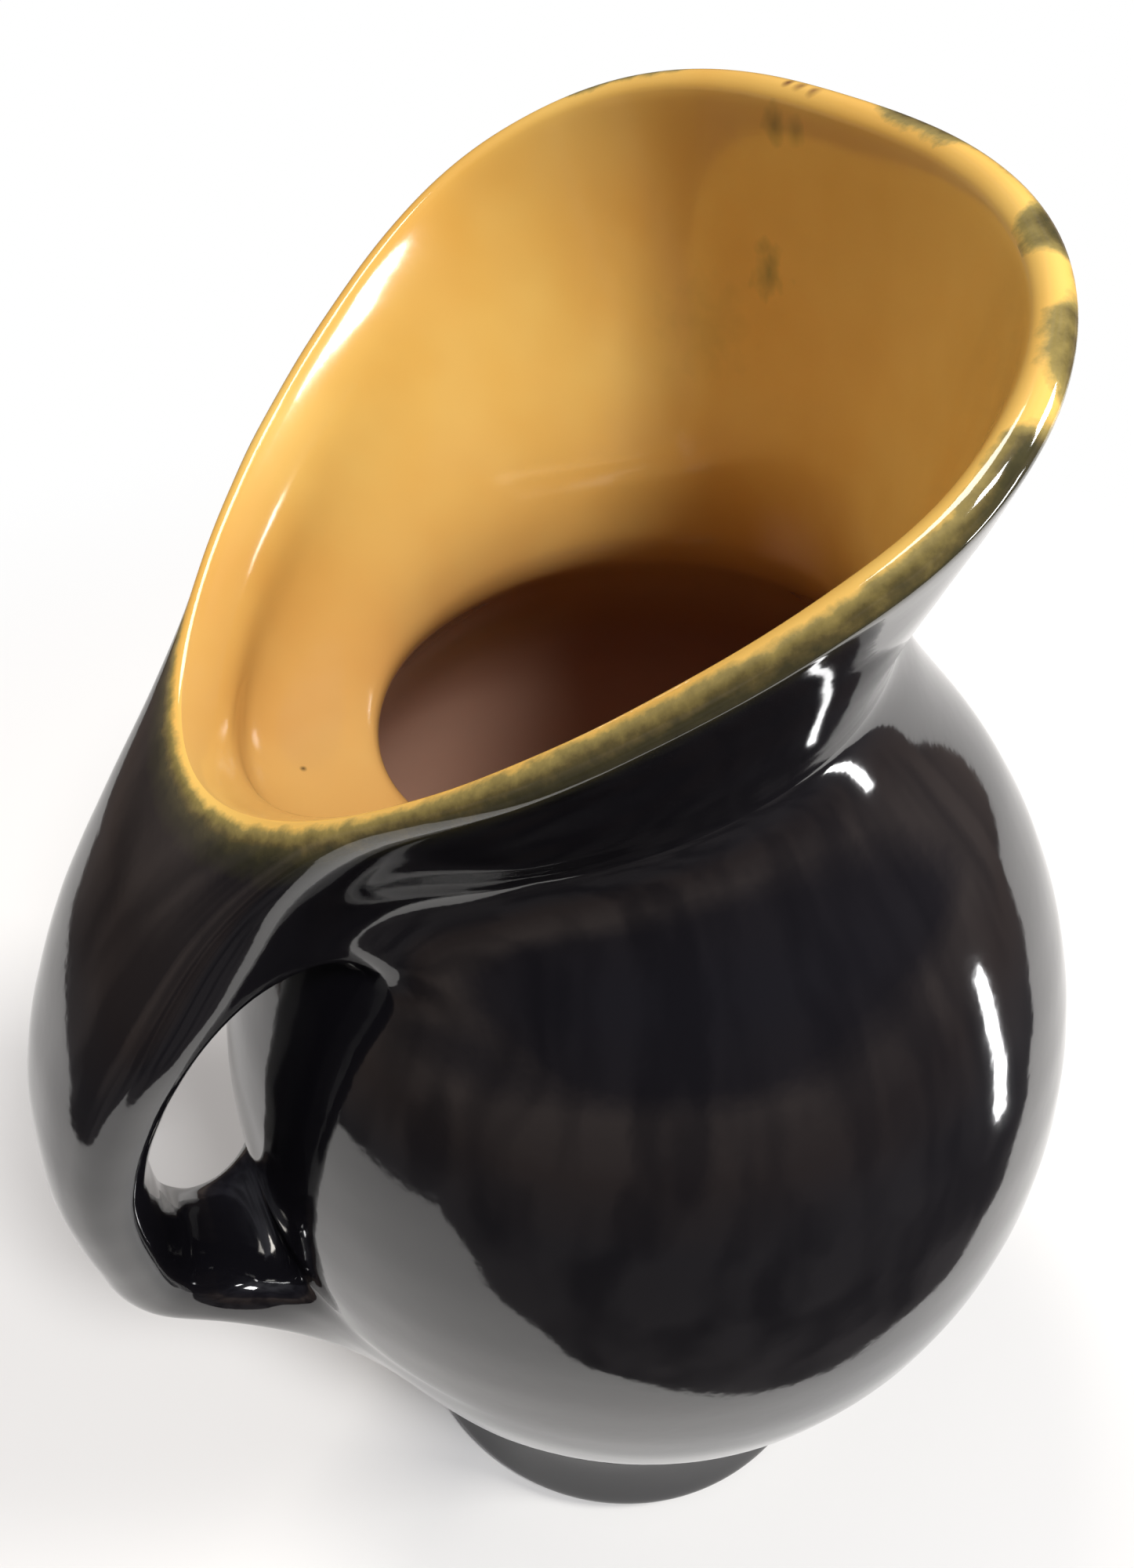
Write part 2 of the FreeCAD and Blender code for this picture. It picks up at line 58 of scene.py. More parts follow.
def add_rows(rings, label):
    """Adds rows to the skin; the strip before each belongs to the piece.  Gives the last."""
    for ring in rings:
        rows.append(np.asarray(ring, float))
        labels.append(label)
    return len(rows) - 1


def hoops(outline):
    """Level rings, one for each radius and height."""
    return [np.stack([radius * np.cos(TURN), radius * np.sin(TURN), np.full(AROUND, height)], 1)
            for radius, height in outline]


def arc(centre_x, centre_z, radius, start, end, steps):
    """Points of an arc in the upright plane, without its first, angles in degrees."""
    turns = np.radians(np.linspace(start, end, steps + 1))[1:]
    return [(centre_x + radius * np.cos(a), centre_z + radius * np.sin(a)) for a in turns]


underside = (INNERMOST, 10.0, 22.0, 32.0, BORE - ARRIS, BORE)
add_rows(hoops([(radius, FLOOR_UNDER) for radius in underside]), "belly")
bore_heights = (FLOOR_UNDER - ARRIS, 9.0, 4.0, ARRIS, 0.0)
add_rows(hoops([(BORE, height) for height in bore_heights]), "foot_ring")
add_rows(hoops([(BORE + ARRIS, 0.0), (39.5, 0.0), (EDGE_CENTRE, 0.0)]), "foot_ring")
add_rows(hoops(arc(EDGE_CENTRE, EDGE_ROUND, EDGE_ROUND, -90, 19.5, 5)), "foot_ring")
add_rows(hoops(arc(*HOLLOW, HOLLOW_FOOT, HOLLOW_JOINT, 4)), "foot_ring")


# Belly: the thrown egg-shaped bowl that holds the drink, earthenware glazed black outside.  Its
# outline is three arcs.  Where the handle is pressed on, the rows lie closer, and a window in
# them takes the handle's root.

LOWER = (-29.0, 101.0, 99.0)                  # centre and radius of the arc below the widest
UPPER = (-24.0, 101.0, 94.0)
LOWER_START = -36.4
ROOT_LOW, ROOT_HIGH = -27.0, -8.6             # edges of the handle's root on the lower arc
ROOT_HALF, TOP_HALF = 5, 7                    # columns of the windows either side
TOP_ROWS = 20
ROOT_ROWS = TOP_ROWS + 2 * (TOP_HALF - ROOT_HALF)
SEAM_HEIGHT = 150.0
SEAM_TURN = np.degrees(np.arcsin((SEAM_HEIGHT - UPPER[1]) / UPPER[2]))

add_rows(hoops(arc(*HOLLOW, HOLLOW_JOINT, HOLLOW_TOP, 8)), "belly")
root_low = add_rows(hoops(arc(*LOWER, LOWER_START, ROOT_LOW, 5)), "belly")
root_high = add_rows(hoops(arc(*LOWER, ROOT_LOW, ROOT_HIGH, ROOT_ROWS)), "belly")
add_rows(hoops(arc(*LOWER, ROOT_HIGH, 0, 4)), "belly")
add_rows(hoops(arc(*UPPER, 0, SEAM_TURN, 13)), "belly")


# Neck and mouth: a second thrown piece of earthenware, luted on the shoulder.  It leans back,
# flares into the slanting mouth and ends in a thick rolled lip, on which the black glaze thins
# to yellow.

WALL = 4.4
LIP = 2.3                                     # radius of the roll
NECK = 38.0
NECK_X, NECK_Z, NECK_TILT = -8.0, 176.7, 18.0
NECK_ROOT = 12                                # how far the neck is followed into the shoulder
MOUTH_Z, MOUTH_TILT = 218.85, 37.44
MOUTH = (35.0, 72.5, 55.3)                    # reach in front, behind and to a side
MOUTH_POWERS = np.array([2.02, 2.76, 1.43, 1.89])
ROUND_POWERS = np.full(4, 2.0)
# shares of the way from neck to mouth: rise, tilt, reach in front, behind, aside, fullness
FLARE = ((0, 0, 0, 0, 0, 0), (0.25, 0.30, 0.16, 0.34, 0.18, 0.30),
         (0.60, 0.65, 0.58, 0.69, 0.55, 0.70))
BOW = 2.0
LEAN = np.radians(32.0)                       # of the wall against the square to the mouth
LIP_RUN = 2.5                                 # straight length below the roll
JOINT = (16.0, 11.0)                          # reach of the drawn joint down and up
JOINT_INSIDE = (5.0, 5.0)
DOME_STEPS, JOINT_STEPS, COLLAR_STEPS = 5, 7, 6


def spline(knots, values, at):
    """Smooth curve through the values, with no bend at its ends."""
    gaps = np.diff(knots)
    count = len(knots)
    system = np.eye(count)
    right = np.zeros(values.shape)
    for i in range(1, count - 1):
        system[i, i - 1:i + 2] = gaps[i - 1], 2 * (gaps[i - 1] + gaps[i]), gaps[i]
        right[i] = 6 * ((values[i + 1] - values[i]) / gaps[i]
                        - (values[i] - values[i - 1]) / gaps[i - 1])
    bend = np.linalg.solve(system, right.reshape(count, -1)).reshape(right.shape)
    piece = np.clip(np.searchsorted(knots, at) - 1, 0, count - 2)
    shape = (-1,) + (1,) * (values.ndim - 1)
    gap = gaps[piece].reshape(shape)
    left = (knots[piece + 1] - at).reshape(shape)
    past = (at - knots[piece]).reshape(shape)
    return ((bend[piece] * left ** 3 + bend[piece + 1] * past ** 3) / (6 * gap)
            + (values[piece] / gap - bend[piece] * gap / 6) * left
            + (values[piece + 1] / gap - bend[piece + 1] * gap / 6) * past)


def unit(way):
    return way / np.linalg.norm(way, axis=-1, keepdims=True)


def evened(values, times):
    """Values round a ring, each drawn towards its two neighbours."""
    for _ in range(times):
        values = (np.roll(values, 1, 0) + 2 * values + np.roll(values, -1, 0)) / 4
    return values


def travelled(x, y):
    """Length run along a line of points, from its first."""
    return np.concatenate([[0], np.cumsum(np.hypot(np.diff(x), np.diff(y)))])


def quarter(length, half, first, second, steps):
    """Points evenly along a quarter of a full oval, from its end to its widest place."""
    share = np.linspace(0, 1, 3000)
    turn = np.pi / 2 * share * share * (3 - 2 * share)
    x = length * np.abs(np.cos(turn)) ** (2 / first)
    y = half * np.sin(turn) ** (2 / second)
    x[-1] = 0.0
    along = travelled(x, y)
    at = np.linspace(0, along[-1], steps + 1)
    return np.stack([np.interp(at, along, x), np.interp(at, along, y)], 1)


def outline(front, tail, half, powers):
    """Flat oval with a point for each column; the powers say how full its quarters are."""
    fore = quarter(front, half, powers[0], powers[1], AROUND // 4)
    aft = quarter(tail, half, powers[2], powers[3], AROUND // 4)
    upper = np.concatenate([fore[:-1], aft[::-1] * [-1, 1]])
    return evened(np.concatenate([upper, upper[-2:0:-1] * [1, -1]]), 3)


def slanted(flat, rise, height, tilt):
    """Ring in a plane that slants up towards the front."""
    c, s = np.cos(np.radians(tilt)), np.sin(np.radians(tilt))
    return np.stack([NECK_X + flat[:, 0] * c - rise * s, flat[:, 1],
                     height + flat[:, 0] * s + rise * c], 1)


path = outline(*MOUTH, MOUTH_POWERS)
path_step = (np.roll(path, -1, 0) - np.roll(path, 1, 0)) / 2
path_out = unit(path_step)[:, ::-1] * [1, -1]


def bow(along):
    """Rise of the lip's middle above the plane through its two ends."""
    middle, reach = (MOUTH[0] - MOUTH[1]) / 2, (MOUTH[0] + MOUTH[1]) / 2
    return BOW * (1 - ((along - middle) / reach) ** 2)


def lip_ring(out, rise):
    """Ring along the lip, so far outside its middle line and above it."""
    return slanted(path + path_out * out, rise + bow(path[:, 0]), MOUTH_Z, MOUTH_TILT)


def roll_rings(turns):
    return [lip_ring(LIP * np.cos(a), LIP * np.sin(a)) for a in np.radians(turns)]


def collar_rings(inset):
    """Rings of the collar from its root in the shoulder up to the lip."""
    neck = NECK - inset
    side = 1 if inset == 0 else -1
    down = np.radians(NECK_TILT + 90)
    root = slanted(outline(neck, neck, neck, ROUND_POWERS), 0, NECK_Z - NECK_ROOT * np.sin(down),
                   NECK_TILT * 0.7)
    rings = [root - [NECK_ROOT * np.cos(down), 0, 0]]
    for rise, tilt, fore, aft, wide, full in FLARE:
        lengths = [neck + share * (end + LIP - inset - neck)
                   for share, end in zip((fore, aft, wide), MOUTH)]
        powers = ROUND_POWERS + (MOUTH_POWERS - ROUND_POWERS) * full
        rings.append(slanted(outline(*lengths, powers), 0, NECK_Z + rise * (MOUTH_Z - NECK_Z),
                             NECK_TILT + tilt * (MOUTH_TILT - NECK_TILT)))
    edge = side * LIP * np.cos(LEAN), -side * LIP * np.sin(LEAN)
    rings.append(lip_ring(edge[0] - LIP_RUN * np.sin(LEAN), edge[1] - LIP_RUN * np.cos(LEAN)))
    rings.append(lip_ring(*edge))
    return np.array(rings)


def dome(azimuth, turn, inset):
    """Points of the shoulder at an angle up its arc, in degrees."""
    turn = np.radians(turn)
    radius = UPPER[0] + (UPPER[2] - inset) * np.cos(turn)
    height = UPPER[1] + (UPPER[2] - inset) * np.sin(turn)
    return np.stack([radius * np.cos(azimuth), radius * np.sin(azimuth),
                     np.broadcast_to(height, azimuth.shape)], -1)


def blend(first, first_way, last, last_way, steps):
    """Rings between two, leaving the first and reaching the last in the given directions."""
    made = []
    for t in np.linspace(0, 1, steps + 1)[1:-1]:
        made.append((2 * t ** 3 - 3 * t ** 2 + 1) * first + (t ** 3 - 2 * t ** 2 + t) * first_way
                    + (3 * t ** 2 - 2 * t ** 3) * last + (t ** 3 - t ** 2) * last_way)
    return made


def shoulder_and_collar(inset, joint, dome_steps, joint_steps, collar_steps):
    """Rows from the seam up the shoulder, round the joint and up the collar to the lip."""
    rings = collar_rings(inset)
    gaps = np.linalg.norm(np.diff(rings, axis=0), axis=2).mean(1)
    knots = np.concatenate([[0], np.cumsum(gaps)])
    at = np.linspace(0, knots[-1], 800)
    paths = spline(knots, rings, at)

    def place(run):
        index = np.clip(run / knots[-1] * (len(at) - 1), 0, len(at) - 1.001)
        low = index.astype(int)
        part = (index - low)[:, None]
        columns = np.arange(AROUND)
        return paths[low, columns] * (1 - part) + paths[low + 1, columns] * part

    # where each column of the collar comes out of the shoulder
    radius = np.hypot(paths[..., 0], paths[..., 1])
    height = np.clip((paths[..., 2] - UPPER[1]) / (UPPER[2] - inset), -1, 1)
    depth = UPPER[0] + (UPPER[2] - inset) * np.sqrt(1 - height ** 2) - radius
    depth[paths[..., 2] < SEAM_HEIGHT] = 1.0
    start = evened(at[[np.nonzero(depth[:, j] > 0)[0].max() for j in range(AROUND)]], 6)
    foot = place(start)
    azimuth = np.unwrap(np.arctan2(foot[:, 1], foot[:, 0]))
    turn = np.degrees(np.arcsin((foot[:, 2] - UPPER[1]) / (UPPER[2] - inset))
                      - joint[0] / UPPER[2])
    reach = np.minimum(joint[1], 0.6 * (knots[-1] - start))
    made = [dome(TURN + (azimuth - TURN) * share, SEAM_TURN + (turn - SEAM_TURN) * share, inset)
            for share in np.linspace(0, 1, dome_steps + 1)[1:]]
    above = place(start + reach)
    up = unit(place(start + reach + 0.5) - above)
    ahead = unit(dome(azimuth, turn + 0.3, inset) - made[-1])
    made += blend(made[-1], ahead * joint[0] * 1.6, above, up * reach[:, None] * 1.5, joint_steps)
    for share in np.linspace(0, 1, collar_steps + 1):
        made.append(place(start + reach + (knots[-1] - start - reach) * share))
    return made


top_low = len(rows) - 1 + 4
add_rows(shoulder_and_collar(0, JOINT, DOME_STEPS, JOINT_STEPS, COLLAR_STEPS), "neck_and_mouth")
crest = add_rows(roll_rings((-12, 8, 28, 48, 68, 88)), "neck_and_mouth")
assert crest - top_low == TOP_ROWS, (crest, top_low)
add_rows(roll_rings((108, 128)), "neck_and_mouth")


# Lining: the honey-yellow glaze poured round inside, fast to the clay from just under the lip
# down to the floor.

FLOOR = 20.5
CORNER = 16.0
BELLY_WALL = 4.5

inside = shoulder_and_collar(WALL, JOINT_INSIDE, 5, 5, 9)
low_inside = LOWER[0], LOWER[1], LOWER[2] - BELLY_WALL
high_inside = UPPER[0], UPPER[1], UPPER[2] - BELLY_WALL
corner_turn = -np.degrees(np.arcsin((LOWER[1] - FLOOR - CORNER) / (low_inside[2] - CORNER)))
corner_x = LOWER[0] + (low_inside[2] - CORNER) * np.cos(np.radians(corner_turn))
add_rows(inside[::-1], "lining")
add_rows([dome(TURN, SEAM_TURN, BELLY_WALL)], "lining")
add_rows(hoops(arc(*high_inside, SEAM_TURN, 0, 10)), "lining")
add_rows(hoops(arc(*low_inside, 0, corner_turn, 12)), "lining")
add_rows(hoops(arc(corner_x, FLOOR + CORNER, CORNER, corner_turn, -90, 5)), "lining")
add_rows(hoops([(radius, FLOOR) for radius in np.linspace(corner_x, INNERMOST, 7)[1:]]), "lining")
grid = np.array(rows)


# Handle: a strap of clay, pulled by hand and glazed black.  Its outer face runs on from the lip
# at the narrow end of the mouth; it bends down and in and is pressed on the belly.  Both its ends
# grow out of windows in the skin.

# its middle line: place across, height, half the width and half the thickness
STRAP = np.array([
    (-45.9, 167.9, 22.6, 6.0), (-65.7, 166.1, 23.8, 6.9), (-75.5, 155.6, 21.8, 6.8),
    (-84.6, 139.4, 18.5, 6.9), (-90.2, 121.3, 16.2, 6.7), (-90.0, 103.5, 13.6, 6.1),
    (-87.4, 90.0, 11.6, 5.8), (-80.5, 82.2, 11.5, 5.9), (-70.8, 75.8, 13.5, 6.3),
    (-59.0, 67.2, 15.4, 6.8)])
STRAP_POWER = 2.5
STRAP_STEPS = 26
TOP_BLEND, ROOT_BLEND = 8, 7                  # steps between the strap and its windows
WINDOWS = (top_low, crest, TOP_HALF), (root_low, root_high, ROOT_HALF)


def window(outer_row, inner_row, half):
    """Places round a window in the skin, from the middle of the strap's outer face."""
    left, right = BEHIND - half, BEHIND + half
    step = 1 if inner_row > outer_row else -1
    places = [(outer_row, j) for j in range(BEHIND, right)]
    places += [(i, right) for i in range(outer_row, inner_row, step)]
    places += [(inner_row, j) for j in range(right, left, -1)]
    places += [(i, left) for i in range(inner_row, outer_row, -step)]
    return places + [(outer_row, j) for j in range(left, BEHIND)]


def inward(places, low, high, half):
    """Directions in which the skin runs into a window, from the strips outside its edges."""
    ways = []
    for i, j in places:
        outside = [neighbour for on_edge, neighbour in (
            (i == low, (i - 1, j)), (i == high, (i + 1, j)),
            (j == BEHIND - half, (i, j - 1)), (j == BEHIND + half, (i, j + 1))) if on_edge]
        ways.append(unit(sum(unit(grid[i, j] - grid[neighbour]) for neighbour in outside)))
    return np.array(ways)


def strap_ring(middle, way, half, thick, share):
    """Section square to the strap, its points shared out like the windows at its ends."""
    out = np.array([way[2], 0, -way[0]])
    turn = np.linspace(0, 2 * np.pi, 4001)
    c, s = np.cos(turn), np.sin(turn)
    x = thick * np.sign(c) * np.abs(c) ** (2 / STRAP_POWER)
    y = -half * np.sign(s) * np.abs(s) ** (2 / STRAP_POWER)
    along = travelled(x, y)
    along /= along[-1]
    corner = along[len(turn) // 8]
    count = 2 * (2 * TOP_HALF + TOP_ROWS)

    def shared(face):
        knots = [0, face, count / 2 - face, count / 2, count / 2 + face, count - face, count]
        ends = [0, corner, 0.5 - corner, 0.5, 0.5 + corner, 1 - corner, 1]
        return np.interp(np.arange(count), knots, ends)

    at = shared(TOP_HALF) * (1 - share) + shared(ROOT_HALF) * share
    return (middle + np.outer(np.interp(at, along, x), out)
            + np.outer(np.interp(at, along, y), [0, 1, 0]))


def eased(places, outer_row, inner_row, outer, side, inner):
    """How far the skin runs on into a window along each of its edges, without a jump."""
    pull = np.array([outer if i == outer_row else inner if i == inner_row else side
                     for i, j in places])
    return evened(pull, 6)[:, None]


strap_knots = travelled(STRAP[:, 0], STRAP[:, 1])
strap_line = np.insert(STRAP, 1, 0.0, axis=1)
strap_at = np.linspace(strap_knots[2] - 1.0, strap_knots[7] + 1.0, STRAP_STEPS + 1)
strap = spline(strap_knots, strap_line, strap_at)
strap_way = unit(spline(strap_knots, strap_line, strap_at + 0.1)[:, :3] - strap[:, :3])
strap_rings = [strap_ring(p[:3], w, p[3], p[4], share)
               for p, w, share in zip(strap, strap_way, np.linspace(0, 1, len(strap)))]
top_places = window(crest, top_low, TOP_HALF)
root_places = window(root_low, root_high, ROOT_HALF)
top_ring = np.array([grid[place] for place in top_places])
root_ring = np.array([grid[place] for place in root_places])
top_span = np.linalg.norm(strap_rings[0] - top_ring, axis=1)[:, None]
root_span = np.linalg.norm(root_ring - strap_rings[-1], axis=1)[:, None]
top_pull = eased(top_places, crest, top_low, 0.7, 0.25, 0.35) * top_span
root_pull = eased(root_places, root_low, root_high, 0.5, 0.3, 0.4) * root_span
top_blend = blend(top_ring, inward(top_places, *WINDOWS[0]) * top_pull,
                  strap_rings[0], strap_way[0] * top_span * 0.9, TOP_BLEND)
root_blend = blend(strap_rings[-1], strap_way[-1] * root_span * 0.9,
                   root_ring, -inward(root_places, *WINDOWS[1]) * root_pull, ROOT_BLEND)


# The jug's skin: all rows and the handle joined into one closed surface of quads, so that the
# glaze runs over every joint without a step.

PIECES = ["foot_ring", "belly", "neck_and_mouth", "lining", "handle"]
points = grid.reshape(-1, 3).tolist()
faces, face_piece = [], []
in_window = {(i, j) for low, high, half in WINDOWS
             for i in range(low, high) for j in range(BEHIND - half, BEHIND + half)}
for i in range(len(rows) - 1):
    for j in range(AROUND):
        if (i, j) not in in_window:
            k = (j + 1) % AROUND
            above, below = (i + 1) * AROUND, i * AROUND
            faces.append((below + j, below + k, above + k, above + j))
            face_piece.append(PIECES.index(labels[i + 1]))
for row, piece, flip in ((0, "belly", True), (len(rows) - 1, "lining", False)):
    points.append([0, 0, rows[row][0, 2]])
    for j in range(AROUND):
        a, b = row * AROUND + j, row * AROUND + (j + 1) % AROUND
        faces.append((b, a, len(points) - 1) if flip else (a, b, len(points) - 1))
        face_piece.append(PIECES.index(piece))
indices = [[i * AROUND + j for i, j in top_places]]
for ring in top_blend + strap_rings + root_blend:
    indices.append(list(range(len(points), len(points) + len(ring))))
    points.extend(ring.tolist())
indices.append([i * AROUND + j for i, j in root_places])
for first, second in zip(indices, indices[1:]):
    for k in range(len(first)):
        m = (k + 1) % len(first)
        faces.append((first[m], first[k], second[k], second[m]))
        face_piece.append(PIECES.index("handle"))
points = np.array(points)

# The potter's finger draws the clay of both joints smooth, so their points are evened out.
# Each point has a share of freedom, less the further it lies from a joint.
FINGER_REACH = 6
FINGER_PASSES = 30
free = np.zeros(len(points))
for number, ring in enumerate(indices):
    from_end = min(number, len(indices) - 1 - number)
    if number <= TOP_BLEND + 1 or from_end <= ROOT_BLEND:
        free[ring] = 1.0 if from_end < FINGER_REACH else 0.5
for low, high, half in WINDOWS:
    beside_it = np.arange(BEHIND - half - FINGER_REACH + 1, BEHIND + half + FINGER_REACH)
    for i in range(low - FINGER_REACH + 1, high):
        for j in beside_it:
            ease = 1.0 - max(abs(j - BEHIND) - half, low - i, 0) / FINGER_REACH
            if high == crest and i > crest - 4:
                ease *= 0.25 * (crest - i)
            free[i * AROUND + j] = max(free[i * AROUND + j], ease)
    free[high * AROUND + beside_it] = 0.0
edges = np.array([(face[k - 1], face[k]) for face in faces for k in range(len(face))])
neighbours = np.maximum(np.bincount(edges[:, 0], minlength=len(points)), 1)[:, None]
for _ in range(FINGER_PASSES):
    total = np.zeros_like(points)
    np.add.at(total, edges[:, 0], points[edges[:, 1]])
    points += (total / neighbours - points) * 0.5 * free[:, None]


# Yellow glaze: a glossy honey-yellow lead glaze, cloudy, with painted shade that browns it deep
# inside and pales to a pinkish brown near the floor, a few olive smudges on the far wall and a dark
# speck near the tail of the mouth.

# place in millimetres, radius and strength
SMUDGES = [((18.0, 9.8, 238.0), 3.2, 0.60), ((18.1, 5.8, 237.9), 2.6, 0.50),
           ((20.3, 10.6, 220.2), 4.0, 0.75), ((19.9, 12.0, 223.0), 2.2, 0.60),
           ((18.6, 21.1, 209.9), 9.0, 0.16)]
SPECK = [((-50.9, 4.6, 169.2), 0.75, 1.0)]
# painted shade inside: the yellow browns from the first height down to the second, and pales to a
# pinkish brown between the next two
PAINTED_SHADE_FROM, PAINTED_SHADE_TO = 0.212, 0.130         # metres above the table
PAINTED_FLOOR_SHADE_FROM, PAINTED_FLOOR_SHADE_TO = 0.152, 0.122
GLAZE_IOR = 1.7


def paint(code):
    """Linear colour of a six-figure sRGB code."""
    shares = [int(code[k:k + 2], 16) / 255 for k in (0, 2, 4)]
    return tuple(s / 12.92 if s <= 0.04045 else ((s + 0.055) / 1.055) ** 2.4 for s in shares) + (1.0,)


def linked(tree, kind, links=(), **settings):
    """Adds a node, sets its properties and sockets, and links what feeds it."""
    node = tree.nodes.new(kind)
    for name, value in settings.items():
        setattr(node, name, value)
    for name, value in links:
        socket = node.inputs[name]
        if isinstance(value, bpy.types.NodeSocket):
            tree.links.new(value, socket)
        else:
            socket.default_value = value
    return node


def math(tree, operation, *values):
    return linked(tree, "ShaderNodeMath", enumerate(values), operation=operation).outputs[0]


def noise(tree, place, scale, detail, roughness=0.5):
    return linked(tree, "ShaderNodeTexNoise", [
        ("Vector", place), ("Scale", scale), ("Detail", detail),
        ("Roughness", roughness)]).outputs["Fac"]


def ramp(tree, factor, stops):
    """Colour that follows the factor through the stops, each a position and a colour."""
    node = linked(tree, "ShaderNodeValToRGB", [("Fac", factor)])
    elements = node.color_ramp.elements
    elements.remove(elements[1])
    elements[0].position, elements[0].color = stops[0]
    for position, colour in stops[1:]:
        elements.new(position).color = colour
    return node.outputs["Color"]


def mapped(tree, value, low, high, low_to=0.0, high_to=1.0, kind="LINEAR"):
    return linked(tree, "ShaderNodeMapRange", [
        ("Value", value), ("From Min", low), ("From Max", high), ("To Min", low_to),
        ("To Max", high_to)], interpolation_type=kind).outputs["Result"]


def mixed(tree, factor, first, second):
    return linked(tree, "ShaderNodeMix", [(0, factor), (6, first), (7, second)],
                  data_type="RGBA").outputs[2]


def new_material(name):
    material = bpy.data.materials.new(name)
    material.use_nodes = True
    material.node_tree.nodes.clear()
    return material, material.node_tree


def yellow_colour(tree, place):
    """Colour of the yellow glaze, cloudy over a few centimetres."""
    cloud = noise(tree, place, 28.0, 3.0, 0.55)
    return ramp(tree, cloud, [(0.30, paint("F0B858")), (0.70, paint("FCD070"))])


def spots(tree, place, marks):
    """Factor that is full in the middle of each mark: its place, radius and strength."""
    grain = noise(tree, place, 260.0, 2.0)
    factor = 0.0
    for where, radius, strength in marks:
        away = linked(tree, "ShaderNodeVectorMath", [(0, place), (1, [c * 0.001 for c in where])],
                      operation="DISTANCE").outputs["Value"]
        rough = math(tree, "MULTIPLY_ADD", grain, radius * 0.0016, away)
        inside = mapped(tree, rough, radius * 0.0017, radius * 0.0008, 0.0, strength)
        factor = math(tree, "MAXIMUM", inside, factor)
    return factor


def glaze_surface(tree, colour, place, roughness):
    """Glossy glaze with a very faint ripple, three millimetres from wave to wave."""
    bump = linked(tree, "ShaderNodeBump", [
        ("Strength", 0.05), ("Distance", 0.0004), ("Height", noise(tree, place, 320.0, 2.0))])
    surface = linked(tree, "ShaderNodeBsdfPrincipled", [
        ("Base Color", colour), ("Roughness", roughness), ("IOR", GLAZE_IOR),
        ("Normal", bump.outputs["Normal"])])
    linked(tree, "ShaderNodeOutputMaterial", [("Surface", surface.outputs["BSDF"])])


yellow, tree = new_material("Honey-yellow glaze")
place = linked(tree, "ShaderNodeTexCoord").outputs["Object"]
height = linked(tree, "ShaderNodeSeparateXYZ", [("Vector", place)]).outputs["Z"]
# painted shade: the yellow turns brown deep inside and a paler pinkish brown near the floor
painted_shade = mapped(tree, height, PAINTED_SHADE_FROM, PAINTED_SHADE_TO, kind="SMOOTHSTEP")
painted_floor_shade = mapped(tree, height, PAINTED_FLOOR_SHADE_FROM, PAINTED_FLOOR_SHADE_TO, kind="SMOOTHSTEP")
colour = mixed(tree, painted_shade, yellow_colour(tree, place), paint("9A6A4E"))
colour = mixed(tree, painted_floor_shade, colour, paint("C09680"))
colour = mixed(tree, spots(tree, place, SMUDGES), colour, paint("77733C"))
colour = mixed(tree, spots(tree, place, SPECK), colour, paint("15130F"))
glaze_surface(tree, colour, place, 0.13)


# Black glaze: glossy black over yellow.  Where it thins towards the lip's edge it breaks through
# olive to the yellow under it, as the attribute "coat" says, and a chip on the far rim shows brown.

CHIPS = [((18.8, 4.5, 242.3), 1.3, 0.9), ((19.0, 7.0, 242.4), 1.4, 0.9),
         ((18.9, 9.5, 242.3), 1.0, 0.9)]

black, tree = new_material("Black glaze breaking to yellow")
place = linked(tree, "ShaderNodeTexCoord").outputs["Object"]
coat = linked(tree, "ShaderNodeAttribute", attribute_name="coat").outputs["Fac"]
wander = math(tree, "MULTIPLY_ADD", noise(tree, place, 420.0, 4.0, 0.6), 0.36, -0.18)
rough_coat = math(tree, "ADD", coat, wander)
depth = ramp(tree, rough_coat, [(0.0, (0, 0, 0, 1)), (0.14, (0.85, 0.85, 0.85, 1)),
                                (0.4, (1, 1, 1, 1))])
olive = ramp(tree, rough_coat, [(0.10, paint("8C8450")), (0.32, paint("504A2E")),
                                (0.62, paint("2B2A1D")), (1.0, paint("131216"))])
colour = mixed(tree, depth, yellow_colour(tree, place), olive)
colour = mixed(tree, spots(tree, place, CHIPS), colour, paint("6A3B22"))
glaze_surface(tree, colour, place, 0.07)


# Thrown skin: the skin made finer, with the faint rings that the thrower's fingers leave, and
# the glazes laid on its pieces.

skin = bpy.data.meshes.new("skin")
skin.from_pydata((points * 0.001).tolist(), [], faces)
skin.attributes.new("piece", "INT", "FACE").data.foreach_set("value", face_piece)
skin_object = bpy.data.objects.new("Skin", skin)
bpy.context.scene.collection.objects.link(skin_object)

tree = bpy.data.node_groups.new("Thrown skin", "GeometryNodeTree")
for name, kind, way in (("Geometry", "NodeSocketGeometry", "INPUT"),
                        ("Finger Pitch", "NodeSocketFloat", "INPUT"),
                        ("Finger Depth", "NodeSocketFloat", "INPUT"),
                        ("Geometry", "NodeSocketGeometry", "OUTPUT")):
    tree.interface.new_socket(name, in_out=way, socket_type=kind)
given = linked(tree, "NodeGroupInput").outputs
finer = linked(tree, "GeometryNodeSubdivisionSurface", [("Mesh", given["Geometry"]), ("Level", 1)])
spot = linked(tree, "GeometryNodeInputPosition").outputs[0]
height = linked(tree, "ShaderNodeSeparateXYZ", [("Vector", spot)]).outputs["Z"]
turns = math(tree, "ADD", math(tree, "DIVIDE", height, given["Finger Pitch"]),
             noise(tree, spot, 25.0, 1.0))
wave = math(tree, "SUBTRACT", math(tree, "SINE", math(tree, "MULTIPLY", turns, 2 * np.pi)), 1.0)
